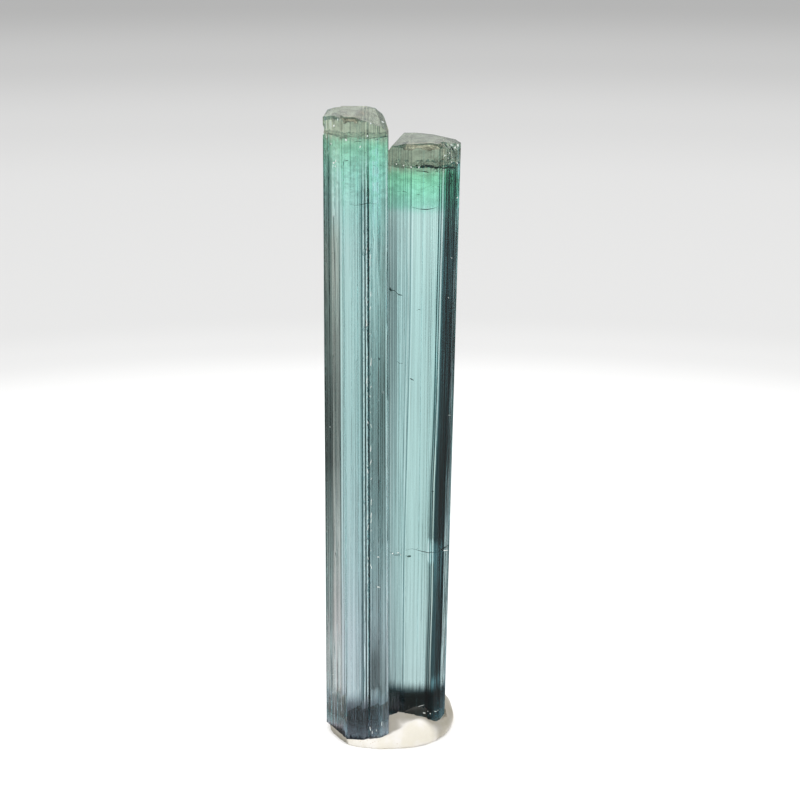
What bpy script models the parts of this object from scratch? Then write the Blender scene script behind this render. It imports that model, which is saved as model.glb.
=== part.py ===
"""Two prismatic crystals grown side by side, standing in a pressed lump of white putty.

Metres, +Z up. The surface that the putty rests on is Z = 0, and the front of the pair faces -Y.
Plan positions and small sizes are written in millimetres and scaled by MM where they are used.
"""

import math
import random

import bmesh
import bpy
from mathutils import Matrix, Vector

MM = 0.001

# Heights of the specimen
LEFT_TOP = 56.6 * MM
RIGHT_TOP = 54.3 * MM
LEFT_FOOT = 0.65 * MM
RIGHT_FOOT = 0.9 * MM
SOCKET_GAP = 0.3 * MM

# Width of each crystal at its foot, as a share of its width at the tip, about the seam between the two
SEAM = (-0.13, 1.30)
LEFT_FOOT_SHARE = 1.03
RIGHT_FOOT_SHARE = 0.81

# Each prism in plan, anticlockwise: an upright edge's x and y, then how many growth lines the face after it
# carries and how deep they are, all in millimetres
LEFT_PRISM = (
    (-3.75, -3.00, 10, 0.04),
    (-2.45, -3.20, 5, 0.20),
    (-1.72, -3.04, 9, 0.05),
    (-0.92, -2.82, 6, 0.05),
    (-0.15, -2.40, 14, 0.03),
    (-0.10, 1.60, 8, 0.05),
    (-1.30, 3.30, 20, 0.05),
    (-3.60, 3.75, 12, 0.08),
    (-4.90, 2.95, 16, 0.07),
    (-5.62, 0.60, 26, 0.08),
)
RIGHT_PRISM = (
    (-0.60, -0.10, 18, 0.07),
    (0.90, -1.45, 9, 0.08),
    (1.65, -1.80, 9, 0.02),
    (4.00, -1.95, 6, 0.14),
    (4.72, -1.60, 20, 0.06),
    (6.04, 0.70, 8, 0.04),
    (6.09, 1.90, 15, 0.07),
    (5.25, 3.70, 12, 0.07),
    (3.60, 4.55, 12, 0.04),
    (1.20, 4.70, 17, 0.07),
    (-0.50, 3.60, 8, 0.04),
    (-0.95, 2.00, 4, 0.02),
)
RISER_SHARE = 0.18
EDGE_SHARE = 0.35

# Terminations: flat faces that cut a prism's tip, as a point in millimetres and a way out of the crystal
LEFT_TIP = (
    ((-2.50, 0.40, 56.56), (-0.01, -0.12, 0.99)),
    ((-1.93, -3.10, 55.73), (0.39, -0.21, 0.90)),
    ((-1.13, 0.40, 56.16), (0.80, -0.04, 0.60)),
    ((-0.33, 0.40, 55.00), (0.94, 0.00, 0.34)),
    ((-2.60, 0.45, 56.56), (0.02, 0.42, 0.91)),
    ((-4.83, 0.40, 56.16), (-0.58, -0.16, 0.80)),
)
RIGHT_TIP = (
    ((1.90, 1.60, 54.14), (-0.06, -0.13, 0.99)),
    ((2.90, 1.60, 54.07), (0.13, -0.06, 0.99)),
    ((4.60, 1.60, 53.69), (0.29, 0.00, 0.96)),
    ((1.22, -1.60, 53.68), (-0.40, -0.11, 0.91)),
    ((0.13, -0.73, 53.31), (-0.73, 0.14, 0.53)),
    ((2.50, 1.60, 54.12), (0.05, 0.42, 0.91)),
)
# The broken feet of the crystals, set in the putty
LEFT_BREAK = (
    ((-3.00, 0.00, 0.65), (0.01, 0.01, -1.0)),
)
RIGHT_BREAK = (
    ((3.00, 1.00, 0.90), (-0.05, 0.05, -1.0)),
    ((4.55, 0.18, 1.11), (0.53, 0.0, -0.85)),
)

# The low face on the left of the left tip, a small step below the main one: the point where the two meet,
# and how far the low face leans to the left and to the front
STEP_EDGE = (-4.06, 0.40, 56.40)
STEP_LEAN = (math.radians(12), math.radians(10))
STEP_BLOCK = 8.0 * MM

# Chips struck from the tips and nicks along the edges: centre and radii of the scooping ball, in millimetres
CHIPS = (
    ((-0.30, -1.75, 55.45), (0.55, 0.80, 0.45)),
    ((-0.85, -2.95, 55.75), (0.70, 0.42, 0.42)),
    ((-4.95, -1.75, 56.10), (0.55, 0.62, 0.55)),
    ((-5.82, 0.75, 54.60), (0.34, 0.50, 0.62)),
    ((-0.05, 0.90, 54.70), (0.45, 0.95, 0.60)),
    ((-1.95, 3.90, 55.20), (0.70, 0.60, 0.50)),
    ((5.05, -1.40, 53.80), (0.85, 0.95, 0.62)),
    ((5.75, -0.20, 53.45), (0.50, 0.75, 0.70)),
    ((4.30, -2.10, 53.45), (0.42, 0.34, 0.34)),
    ((6.10, 0.90, 52.60), (0.34, 0.60, 0.75)),
    ((5.70, 3.20, 52.90), (0.75, 0.90, 0.60)),
    ((0.55, 4.75, 53.10), (0.90, 0.60, 0.60)),
    ((-2.07, -3.42, 44.60), (0.22, 0.30, 0.95)),
    ((-2.02, -3.38, 37.90), (0.20, 0.26, 1.30)),
    ((-2.10, -3.40, 31.20), (0.20, 0.26, 0.80)),
    ((5.55, -0.35, 18.60), (0.60, 0.30, 0.22)),
    ((-5.70, -0.30, 27.30), (0.30, 0.40, 0.50)),
)

CHIP_TURN = math.radians(23)

# Raised growth ribs laid along the faces: x, y of the rib, how it is turned, its width, how proud it stands,
# and the heights of its two ends, in millimetres and degrees
RIBS = (
    (-4.72, -1.13, 62.5, 0.34, 0.07, 6.0, 49.0),
    (-5.18, -0.24, 62.5, 0.26, 0.06, 22.0, 54.2),
    (-4.25, -2.04, 62.5, 0.22, 0.06, 1.2, 30.5),
    (-3.10, -3.09, 8.0, 0.30, 0.05, 12.0, 38.0),
    (-1.32, -2.90, -20.0, 0.24, 0.06, 3.0, 52.0),
    (-0.57, -2.70, -30.0, 0.34, 0.05, 8.0, 34.0),
    (-5.25, 1.78, 107.0, 0.36, 0.07, 5.0, 46.0),
    (-4.25, 3.35, 148.0, 0.34, 0.06, 16.0, 53.0),
    (-2.35, 3.50, 191.0, 0.42, 0.06, 2.5, 36.0),
)
RIB_SUNK = 0.25
RIB_END = 1.6

# The putty: for each direction round it, in degrees from +X, how far it reaches from its centre, how high
# its crest stands, and how high it stands against the crystals, in millimetres
PUTTY_CENTRE = (-0.02, 0.75)
PUTTY_RIM = (
    (0, 5.62, 1.18, 1.15),
    (15, 6.10, 1.55, 1.40),
    (31, 6.48, 2.30, 2.00),
    (50, 6.20, 2.70, 2.40),
    (78, 5.30, 2.50, 2.30),
    (105, 4.75, 2.20, 2.10),
    (132, 5.10, 1.80, 1.80),
    (158, 5.60, 1.20, 1.20),
    (182, 5.60, 0.70, 0.70),
    (202, 5.25, 0.60, 0.60),
    (218, 5.25, 0.60, 0.60),
    (228, 5.45, 0.62, 0.62),
    (246, 5.02, 0.66, 0.60),
    (263, 4.85, 0.68, 0.60),
    (272, 4.75, 0.95, 1.90),
    (283, 4.75, 1.50, 2.70),
    (299, 5.10, 1.95, 2.80),
    (315, 5.18, 1.95, 2.55),
    (330, 5.20, 1.60, 1.95),
    (347, 5.42, 1.25, 1.35),
)
PUTTY_SEGMENTS = 40
PUTTY_BELOW = 1.2
# Rings of the putty's cage from foot to middle: share of the reach, share of the height there, and how far
# that height has gone over from the crest's to the one against the crystals. The fifth ring is the crest,
# and the sixth the shallow hollow behind it.
PUTTY_RINGS = (
    (0.94, None, 0.0),
    (1.00, 0.30, 0.0),
    (0.975, 0.72, 0.0),
    (0.89, 0.98, 0.0),
    (0.78, 1.04, 0.0),
    (0.67, 0.88, 0.05),
    (0.54, 0.98, 0.6),
    (0.38, 1.00, 1.0),
)


def clear_scene():
    for thing in list(bpy.data.objects):
        bpy.data.objects.remove(thing, do_unlink=True)


def collection(name):
    made = bpy.data.collections.new(name)
    bpy.context.scene.collection.children.link(made)
    return made


def principled(name, colour, roughness, transmission=0.0, ior=1.5):
    material = bpy.data.materials.new(name)
    material.use_nodes = True
    shader = material.node_tree.nodes["Principled BSDF"]
    shader.inputs["Base Color"].default_value = (*colour, 1.0)
    shader.inputs["Metallic"].default_value = 0.0
    shader.inputs["Roughness"].default_value = roughness
    shader.inputs["Transmission Weight"].default_value = transmission
    shader.inputs["IOR"].default_value = ior
    return material


def add_object(name, bm, home, helper=False):
    """Turns a bmesh into a named object; a helper is a cutter or a shape to be fused, and isn't a node."""
    bmesh.ops.recalc_face_normals(bm, faces=bm.faces)
    mesh = bpy.data.meshes.new(name)
    bm.to_mesh(mesh)
    bm.free()
    made = bpy.data.objects.new(name, mesh)
    home.objects.link(made)
    if helper:
        made.hide_render = True
        made.display_type = "WIRE"
    return made


def growth_outline(prism, rng):
    """The prism's plan with its upright growth lines: flat lands at slightly different depths."""
    outline = []
    for i, (x, y, lines, depth) in enumerate(prism):
        start = Vector((x, y))
        along = Vector(prism[(i + 1) % len(prism)][:2]) - start
        inward = Vector((-along.y, along.x)).normalized()
        outline.append(start)
        offset = 0.0
        for line in range(lines):
            at = (EDGE_SHARE + (line + rng.uniform(-0.3, 0.3)) * (1 - 2 * EDGE_SHARE / lines)) / lines
            deeper = rng.uniform(0.0, depth)
            outline.append(start + along * at + inward * offset)
            outline.append(start + along * (at + RISER_SHARE / lines) + inward * deeper)
            offset = deeper
    return outline


def prism_bmesh(outline, foot, tip, foot_share):
    """A closed prism over the outline, drawn in or out about the seam towards its foot."""
    seam = Vector(SEAM)
    bm = bmesh.new()
    ring = [bm.verts.new((p.x * MM, p.y * MM, tip)) for p in outline]
    cap = bm.faces.new(ring)
    pulled = bmesh.ops.extrude_face_region(bm, geom=[cap])["geom"]
    moved = [v for v in pulled if isinstance(v, bmesh.types.BMVert)]
    bmesh.ops.translate(bm, vec=(0, 0, foot - tip), verts=moved)
    about = Matrix.Translation((-seam.x * MM, -seam.y * MM, 0))
    bmesh.ops.scale(bm, vec=(foot_share, foot_share, 1), space=about, verts=moved)
    bmesh.ops.recalc_face_normals(bm, faces=bm.faces)
    return bm


def cut_flat(bm, planes):
    """Cuts the solid by each plane in turn and closes it with a flat face."""
    for point, out in planes:
        whole = bm.verts[:] + bm.edges[:] + bm.faces[:]
        bmesh.ops.bisect_plane(
            bm,
            geom=whole,
            dist=1e-7,
            plane_co=Vector(point) * MM,
            plane_no=Vector(out).normalized(),
            clear_outer=True,
        )
        rim = [e for e in bm.edges if e.is_boundary]
        bmesh.ops.edgeloop_fill(bm, edges=rim)


def crystal_bmesh(prism, seed, foot, tip, foot_share, planes):
    outline = growth_outline(prism, random.Random(seed))
    bm = prism_bmesh(outline, foot - 1.0 * MM, tip + 1.0 * MM, foot_share)
    cut_flat(bm, planes)
    return bm


def rib_bmesh(x, y, turn, width, proud, low, high):
    """A long low rib whose ends taper to the face that it stands on."""
    bm = bmesh.new()
    bmesh.ops.create_cube(bm, size=1.0)
    bmesh.ops.scale(bm, vec=(width * MM, (proud + RIB_SUNK) * 2 * MM, (high - low) * MM), verts=bm.verts)
    outer = [e for e in bm.edges if all(v.co.y < 0 for v in e.verts) and e.verts[0].co.z * e.verts[1].co.z > 0]
    for edge in outer:
        for vert in edge.verts:
            vert.co.z -= math.copysign(RIB_END * MM, vert.co.z)
            vert.co.x *= 0.55
    bmesh.ops.translate(bm, vec=(0, RIB_SUNK * MM, 0), verts=bm.verts)
    bmesh.ops.rotate(bm, matrix=Matrix.Rotation(-math.radians(turn), 3, "Z"), verts=bm.verts)
    bmesh.ops.translate(bm, vec=(x * MM, y * MM, (low + high) / 2 * MM), verts=bm.verts)
    return bm


def ball_bmesh(centre, radii, turn):
    bm = bmesh.new()
    bmesh.ops.create_icosphere(bm, subdivisions=3, radius=1.0)
    bmesh.ops.scale(bm, vec=Vector(radii) * MM, verts=bm.verts)
    bmesh.ops.rotate(bm, matrix=turn, verts=bm.verts)
    bmesh.ops.translate(bm, vec=Vector(centre) * MM, verts=bm.verts)
    return bm


def step_bmesh():
    """The block that takes the low left face off the left tip and leaves a small upright step."""
    bm = bmesh.new()
    bmesh.ops.create_cube(bm, size=STEP_BLOCK)
    bmesh.ops.translate(bm, vec=(-STEP_BLOCK / 2, 0, STEP_BLOCK / 2), verts=bm.verts)
    to_left, to_front = STEP_LEAN
    turn = Matrix.Rotation(to_front, 3, "X") @ Matrix.Rotation(-to_left, 3, "Y")
    bmesh.ops.rotate(bm, matrix=turn, verts=bm.verts)
    bmesh.ops.translate(bm, vec=Vector(STEP_EDGE) * MM, verts=bm.verts)
    return bm


def boolean(target, operation, operand):
    modifier = target.modifiers.new(operation.lower() + "_" + operand.name, "BOOLEAN")
    modifier.operation = operation
    modifier.solver = "EXACT"
    if isinstance(operand, bpy.types.Collection):
        modifier.operand_type = "COLLECTION"
        modifier.collection = operand
    else:
        modifier.object = operand
    return modifier


def build_crystals(home, helpers, material):
    left = crystal_bmesh(LEFT_PRISM, 11, LEFT_FOOT, LEFT_TOP, LEFT_FOOT_SHARE, LEFT_TIP + LEFT_BREAK)
    right = crystal_bmesh(RIGHT_PRISM, 23, RIGHT_FOOT, RIGHT_TOP, RIGHT_FOOT_SHARE, RIGHT_TIP + RIGHT_BREAK)
    pair = add_object("crystal_pair", left, home)
    neighbour = add_object("right_crystal", right, helpers, helper=True)
    ribs = collection("ribs")
    for i, rib in enumerate(RIBS):
        add_object(f"rib_{i}", rib_bmesh(*rib), ribs, helper=True)
    chips = collection("chips")
    add_object("tip_step", step_bmesh(), chips, helper=True)
    for i, (centre, radii) in enumerate(CHIPS):
        turn = Matrix.Rotation(CHIP_TURN * (i + 1), 3, "X")
        add_object(f"chip_{i}", ball_bmesh(centre, radii, turn), chips, helper=True)
    boolean(pair, "UNION", ribs)
    boolean(pair, "UNION", neighbour)
    boolean(pair, "DIFFERENCE", chips)
    pair.data.materials.append(material)
    return pair


def smooth_between(points, angle):
    """The rim's values at an angle, eased between the two directions on either side of it."""
    looped = points + ((points[0][0] + 360, *points[0][1:]),)
    for low, high in zip(looped, looped[1:]):
        if low[0] <= angle < high[0]:
            share = (angle - low[0]) / (high[0] - low[0])
            eased = share * share * (3 - 2 * share)
            return [a + (b - a) * eased for a, b in zip(low[1:], high[1:])]
    raise ValueError(angle)


def putty_bmesh():
    """A cage of rings that follows the pressed lump's rim, closed above and below."""
    bm = bmesh.new()
    rings = []
    for share, height_share, inward in PUTTY_RINGS:
        ring = []
        for segment in range(PUTTY_SEGMENTS):
            angle = 360 * segment / PUTTY_SEGMENTS
            reach, crest, inner = smooth_between(PUTTY_RIM, angle)
            height = crest + (inner - crest) * inward
            z = -PUTTY_BELOW if height_share is None else height * height_share
            x = PUTTY_CENTRE[0] + math.cos(math.radians(angle)) * reach * share
            y = PUTTY_CENTRE[1] + math.sin(math.radians(angle)) * reach * share
            ring.append(bm.verts.new((x * MM, y * MM, z * MM)))
        rings.append([bm.edges.new((a, b)) for a, b in zip(ring, ring[1:] + ring[:1])])
    for lower, upper in zip(rings, rings[1:]):
        bmesh.ops.bridge_loops(bm, edges=lower + upper)
    for end in (rings[0], rings[-1]):
        bmesh.ops.edgeloop_fill(bm, edges=end)
    return bm


def socket_bmesh(prism, foot, foot_share):
    """The room that one crystal's foot takes in the putty, with the gap all round it."""
    bm = prism_bmesh([Vector(edge[:2]) for edge in prism], foot - SOCKET_GAP, 12 * MM, foot_share)
    upright = [f for f in bm.faces if abs(f.normal.z) < 0.5]
    for vert in bm.verts:
        sides = [f.normal for f in vert.link_faces if f in upright]
        push = sum(sides, Vector()).normalized()
        vert.co += push * SOCKET_GAP / max(push.dot(sides[0]), 0.3)
    return bm


def build_putty(home, helpers, material):
    putty = add_object("putty_base", putty_bmesh(), home)
    soften = putty.modifiers.new("soften", "SUBSURF")
    soften.levels = soften.render_levels = 1
    below = bmesh.new()
    bmesh.ops.create_cube(below, size=20 * MM)
    bmesh.ops.translate(below, vec=(0, 0, -10 * MM), verts=below.verts)
    boolean(putty, "DIFFERENCE", add_object("table", below, helpers, helper=True))
    sockets = collection("sockets")
    add_object("left_socket", socket_bmesh(LEFT_PRISM, LEFT_FOOT, LEFT_FOOT_SHARE), sockets, helper=True)
    add_object("right_socket", socket_bmesh(RIGHT_PRISM, RIGHT_FOOT, RIGHT_FOOT_SHARE), sockets, helper=True)
    boolean(putty, "DIFFERENCE", sockets)
    putty.data.materials.append(material)
    return putty


def main():
    clear_scene()
    home = collection("crystal_specimen")
    helpers = collection("cutters")
    clear_teal = principled("clear_teal_crystal", (0.55, 0.78, 0.74), 0.04, transmission=1.0, ior=1.63)
    white_putty = principled("white_putty", (0.86, 0.83, 0.78), 0.75)
    build_crystals(home, helpers, clear_teal)
    build_putty(home, helpers, white_putty)


main()
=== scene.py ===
import math
import random

import bmesh
import bpy
from mathutils import Matrix, Vector
from mathutils.bvhtree import BVHTree


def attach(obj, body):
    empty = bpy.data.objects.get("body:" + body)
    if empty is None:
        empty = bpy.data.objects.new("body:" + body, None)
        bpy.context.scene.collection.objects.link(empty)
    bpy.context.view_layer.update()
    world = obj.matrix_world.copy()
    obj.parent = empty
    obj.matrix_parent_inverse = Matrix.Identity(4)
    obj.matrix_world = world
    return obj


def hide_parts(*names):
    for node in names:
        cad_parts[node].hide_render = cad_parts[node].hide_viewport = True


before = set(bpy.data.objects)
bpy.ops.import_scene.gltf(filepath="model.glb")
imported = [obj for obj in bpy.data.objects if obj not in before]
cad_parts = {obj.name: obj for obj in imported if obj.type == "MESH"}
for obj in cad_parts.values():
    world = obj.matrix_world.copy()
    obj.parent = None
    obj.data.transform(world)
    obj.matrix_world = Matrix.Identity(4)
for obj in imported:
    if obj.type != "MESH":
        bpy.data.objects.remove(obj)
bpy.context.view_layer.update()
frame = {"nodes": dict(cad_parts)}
mm = 0.001
print("frame loaded:", ", ".join(frame["nodes"]))

# Camera: the photo looks slightly down on the pair from the front
cameraView = {
    "distance": 190 * mm,
    "elevation": 15.5,  # degrees
    "aim": (0.87, 0.0, 31.1),  # mm
    "lens": 98.55,
    "sensor": 36.0,
}


def placeCamera():
    data = bpy.data.cameras.new("cameraFront")
    data.lens = cameraView["lens"]
    data.sensor_width = cameraView["sensor"]
    data.clip_start = 1 * mm
    camera = bpy.data.objects.new("cameraFront", data)
    bpy.context.scene.collection.objects.link(camera)
    up = math.radians(cameraView["elevation"])
    back = Vector((0, -math.cos(up), math.sin(up)))
    camera.location = Vector(cameraView["aim"]) * mm + back * cameraView["distance"]
    camera.rotation_mode = "QUATERNION"
    camera.rotation_quaternion = (-back).to_track_quat("-Z", "Y")
    bpy.context.scene.camera = camera


# Node helpers: a value that is a socket gets linked, anything else is set
def addNode(tree, kind, inputs=None, **settings):
    made = tree.nodes.new(kind)
    for name, value in settings.items():
        setattr(made, name, value)
    for name, value in (inputs or {}).items():
        if isinstance(value, bpy.types.NodeSocket):
            tree.links.new(value, made.inputs[name])
        else:
            made.inputs[name].default_value = value
    return made


def maths(tree, operation, *values):
    return addNode(tree, "ShaderNodeMath", dict(enumerate(values)), operation=operation).outputs[0]


def product(tree, value, *factors):
    for factor in factors:
        value = maths(tree, "MULTIPLY", value, factor)
    return value


def split(tree, vector):
    return addNode(tree, "ShaderNodeSeparateXYZ", {0: vector}).outputs


def vectorMaths(tree, operation, *values):
    made = addNode(tree, "ShaderNodeVectorMath", dict(enumerate(values)), operation=operation)
    return made.outputs["Value" if operation in ("DOT_PRODUCT", "LENGTH", "DISTANCE") else "Vector"]


def scaled(tree, vector, amount):
    return addNode(tree, "ShaderNodeVectorMath", {0: vector, "Scale": amount}, operation="SCALE").outputs[0]


def combine(tree, x, y, z=0.0):
    return addNode(tree, "ShaderNodeCombineXYZ", {0: x, 1: y, 2: z}).outputs[0]


def between(tree, value, low, high, toLow=0.0, toHigh=1.0, kind="SMOOTHSTEP"):
    inputs = {"Value": value, "From Min": low, "From Max": high, "To Min": toLow, "To Max": toHigh}
    return addNode(tree, "ShaderNodeMapRange", inputs, interpolation_type=kind).outputs[0]


# 1 where the value is from low to high, fading over twice soft
def strip(tree, value, low, high, soft):
    rising = between(tree, value, low - soft, low + soft)
    falling = between(tree, value, high + soft, high - soft)
    return product(tree, rising, falling)


def noise(tree, place, scale=1.0, detail=2.0, roughness=0.5, seed=0.0):
    inputs = {"Vector": place, "W": seed, "Scale": scale, "Detail": detail, "Roughness": roughness}
    return addNode(tree, "ShaderNodeTexNoise", inputs, noise_dimensions="4D").outputs[0]


def mixColour(tree, share, first, second, blend="MIX"):
    first, second = ((*value, 1.0) if isinstance(value, tuple) else value for value in (first, second))
    inputs = {0: share, 6: first, 7: second}
    return addNode(tree, "ShaderNodeMix", inputs, data_type="RGBA", blend_type=blend).outputs[2]


def colourRamp(tree, value, stops, kind="LINEAR"):
    made = addNode(tree, "ShaderNodeValToRGB", {"Fac": value})
    ramp = made.color_ramp
    ramp.interpolation = kind
    while len(ramp.elements) < len(stops):
        ramp.elements.new(1.0)
    for element, (at, colour) in zip(ramp.elements, stops):
        element.position = at
        element.color = (*colour, 1.0)
    return made.outputs["Color"]


# Runs a Geometry Nodes tree on an object and keeps the finished mesh as a piece of its own
def runTree(host, tree, values, name, thickness=0.0):
    modifier = host.modifiers.new(tree.name, "NODES")
    modifier.node_group = tree
    sockets = {item.name: item.identifier for item in tree.interface.items_tree if item.in_out == "INPUT"}
    for key, value in values.items():
        modifier[sockets[key]] = value
    if thickness:
        solidify = host.modifiers.new("thickness", "SOLIDIFY")
        solidify.thickness = thickness
    mesh = bpy.data.meshes.new_from_object(host.evaluated_get(bpy.context.evaluated_depsgraph_get()))
    mesh.name = name
    bpy.data.objects.remove(host)
    return linkMesh(mesh, name)


def linkMesh(mesh, name):
    made = bpy.data.objects.new(name, mesh)
    bpy.context.scene.collection.objects.link(made)
    return made


def meshObject(bm, name, material=None):
    mesh = bpy.data.meshes.new(name)
    bm.to_mesh(mesh)
    bm.free()
    if material:
        mesh.materials.append(material)
    return linkMesh(mesh, name)


def newMaterial(name):
    material = bpy.data.materials.new(name)
    material.use_nodes = True
    return material, material.node_tree, material.node_tree.nodes["Principled BSDF"]


def mottledMaterial(name, scale, tones, roughness, detail=1.0, metallic=0.0):
    material, tree, shader = newMaterial(name)
    place = addNode(tree, "ShaderNodeTexCoord").outputs["Object"]
    mottle = noise(tree, place, scale=scale, detail=detail)
    tree.links.new(colourRamp(tree, mottle, tones), shader.inputs["Base Color"])
    shader.inputs["Metallic"].default_value = metallic
    shader.inputs["Roughness"].default_value = roughness
    return material


def newTree(name, values):
    tree = bpy.data.node_groups.new(name, "GeometryNodeTree")
    tree.interface.new_socket("Geometry", in_out="INPUT", socket_type="NodeSocketGeometry")
    for key, value in values.items():
        socket = tree.interface.new_socket(key, in_out="INPUT", socket_type="NodeSocketFloat")
        socket.default_value = value
    tree.interface.new_socket("Geometry", in_out="OUTPUT", socket_type="NodeSocketGeometry")
    return tree, tree.nodes.new("NodeGroupInput").outputs


def endTree(tree, geometry, material):
    real = addNode(tree, "GeometryNodeRealizeInstances", {"Geometry": geometry})
    dressed = addNode(tree, "GeometryNodeSetMaterial", {"Geometry": real.outputs[0]})
    dressed.inputs["Material"].default_value = material
    addNode(tree, "NodeGroupOutput", {"Geometry": dressed.outputs[0]})
    return tree


# Studio: a wide floor painted white in the middle and falling off to grey, a painted pool of light, a pale
# surround, and three soft boxes
softBoxes = {  # in metres and watts
    "softBoxLeft": {"place": (-0.35, -0.3, 0.5), "aim": (0, 0, 0.02), "size": 0.35, "power": 0.55},
    "softBoxRight": {"place": (0.4, -0.25, 0.35), "aim": (0, 0, 0.02), "size": 0.35, "power": 0.28},
    "softBoxTop": {"place": (0.1, 0.1, 0.6), "aim": (0, 0, 0.0), "size": 0.5, "power": 0.6},
}
studio = {
    "floorRadius": 4.0,
    "floorPaintedLight": (  # m from the middle, and the painted brightness of the floor's pool of light there
        (0.0, 1.0), (0.105, 1.0), (0.122, 0.9), (0.145, 0.76), (0.165, 0.715), (0.29, 0.71),
        (0.385, 0.665), (0.52, 0.575), (0.71, 0.474), (1.0, 0.42),
    ),
    "surround": (0.93, 0.93, 0.93),
    "bright": (1.0, 1.0, 1.0),
    "gap": (0.03, 0.035, 0.04),
    "lowReflection": (0.2, 0.21, 0.21),  # upright faces mirror a dim room, as they do beside a dark camera
    "frontGap": (51, 46),  # degrees off the Y axis where the pale backdrop ends
    "sideGap": (27, 21),  # degrees off the X axis
    "skyFrom": (0.02, 0.3),
}


def buildWorld():
    world = bpy.data.worlds.new("paleSurround")
    bpy.context.scene.world = world
    world.use_nodes = True
    tree = world.node_tree
    background = tree.nodes["Background"]
    direction = addNode(tree, "ShaderNodeTexCoord").outputs["Generated"]
    axes = split(tree, direction)
    azimuth = maths(tree, "ARCTAN2", *(maths(tree, "ABSOLUTE", axes[axis]) for axis in "XY"))
    fromY = [math.radians(a) for a in studio["frontGap"]]
    fromX = [math.radians(90 - a) for a in studio["sideGap"]]
    backdrop = between(tree, azimuth, fromY[1], fromY[0], 1.0, 0.0)
    sides = between(tree, azimuth, fromX[0], fromX[1])
    lit = maths(tree, "MAXIMUM", backdrop, sides)
    low = mixColour(tree, lit, studio["gap"], studio["bright"])
    path = addNode(tree, "ShaderNodeLightPath").outputs
    mirrored = maths(tree, "SUBTRACT", path["Is Glossy Ray"], path["Is Transmission Ray"])
    low = mixColour(tree, mirrored, low, studio["lowReflection"])
    sky = between(tree, axes["Z"], *studio["skyFrom"])
    tree.links.new(mixColour(tree, sky, low, studio["surround"]), background.inputs["Color"])


def buildFloor():
    bm = bmesh.new()
    bmesh.ops.create_circle(bm, cap_ends=True, segments=96, radius=studio["floorRadius"])
    material, tree, shader = newMaterial("whiteSweep")
    floor = meshObject(bm, "floor", material)
    place = addNode(tree, "ShaderNodeTexCoord").outputs["Object"]
    distance = vectorMaths(tree, "LENGTH", place)
    # the floor's colour carries a painted pool of light, white near the middle and greyer further out
    stops = [(at, (grey, grey, grey * 0.995)) for at, grey in studio["floorPaintedLight"]]
    tree.links.new(colourRamp(tree, distance, stops, "EASE"), shader.inputs["Base Color"])
    shader.inputs["Roughness"].default_value = 1.0
    shader.inputs["Specular IOR Level"].default_value = 0.0
    floor.visible_transmission = False  # the crystals see the surround through themselves, not the floor
    floor.visible_glossy = False


def addSoftBoxes():
    for name, box in softBoxes.items():
        data = bpy.data.lights.new(name, "AREA")
        data.shape = "RECTANGLE"
        data.size = data.size_y = box["size"]
        data.energy = box["power"]
        light = bpy.data.objects.new(name, data)
        bpy.context.scene.collection.objects.link(light)
        light.location = box["place"]
        light.rotation_mode = "QUATERNION"
        light.rotation_quaternion = (Vector(box["aim"]) - Vector(box["place"])).to_track_quat("-Z", "Y")


# Crystals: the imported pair, sliced across so that its growth lines can waver as they rise
growth = {
    "seam": (-0.13, 1.3),  # mm, the line that both prisms draw in towards
    "left": (1.03, -0.35, 57.6),  # share of the width at the foot, and the heights where that and 1 hold
    "right": (0.81, -0.1, 55.3),
    "splitAt": -0.12,  # mm, x between the two crystals in front
    "weld": 1e-7,  # m
    "flat": math.radians(0.25),
    "firstSlice": 1.3,  # mm
    "sliceStep": 0.6,
    "lastSlice": 56.3,
    "sharp": math.radians(3.0),
    "sharpAcross": math.radians(14.0),
    "frontFrom": (0.9, 0.5),  # mm, plan y behind which the front faces' markings die out
    "ridgeAt": (-1.86, -3.08, 0.0),  # plan place of the rough beaded ridge on the left crystal's front
    "ridgeWide": (0.12, 0.45),
    "ridgeTop": (52.0, 46.0),
    "ridgeFoot": (8.0, 20.0),
    "windows": ((-4.15, -2.5), (1.9, 4.1)),  # plan x across the smooth clear faces
    "windowEdge": 0.1,
    "windowCalm": 0.93,
    "upright": 0.3,  # a face whose normal rises less than this carries growth lines
}
lineValues = {
    "Pitch": 0.3,  # mm between one growth line and the next
    "Run": 14.0,  # mm along which a line holds its depth
    "Depth": 0.016,  # mm
    "Ridge Depth": 0.1,
    "Ridge Run": 0.9,
    "Seed": 4.0,
}


def slicedCrystals():
    bm = bmesh.new()
    bm.from_mesh(frame["nodes"]["crystal_pair"].data)
    bmesh.ops.remove_doubles(bm, verts=bm.verts, dist=growth["weld"])
    bmesh.ops.dissolve_limit(bm, angle_limit=growth["flat"], verts=bm.verts, edges=bm.edges)
    height = growth["firstSlice"]
    while height < growth["lastSlice"]:
        everything = bm.verts[:] + bm.edges[:] + bm.faces[:]
        level = (0, 0, height * mm)
        bmesh.ops.bisect_plane(bm, geom=everything, dist=growth["weld"], plane_co=level, plane_no=(0, 0, 1))
        height += growth["sliceStep"]
    return meshObject(bm, "crystalsSliced")


# Plan x and y in mm as they would be at the tip, the height, and whether it is the left crystal
def planSpace(tree, position):
    axes = split(tree, scaled(tree, position, 1000.0))
    shares = []
    for side in ("left", "right"):
        footShare, foot, tip = growth[side]
        shares.append(between(tree, axes["Z"], foot, tip, footShare, 1.0, "LINEAR"))
    onLeft = maths(tree, "LESS_THAN", axes["X"], growth["splitAt"])
    onRight = maths(tree, "SUBTRACT", 1.0, onLeft)
    share = maths(tree, "MULTIPLY_ADD", shares[0], onLeft, product(tree, shares[1], onRight))
    plan = []
    for axis, middle in zip("XY", growth["seam"]):
        off = maths(tree, "SUBTRACT", axes[axis], middle)
        plan.append(maths(tree, "ADD", maths(tree, "DIVIDE", off, share), middle))
    return *plan, axes["Z"], onLeft


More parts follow.
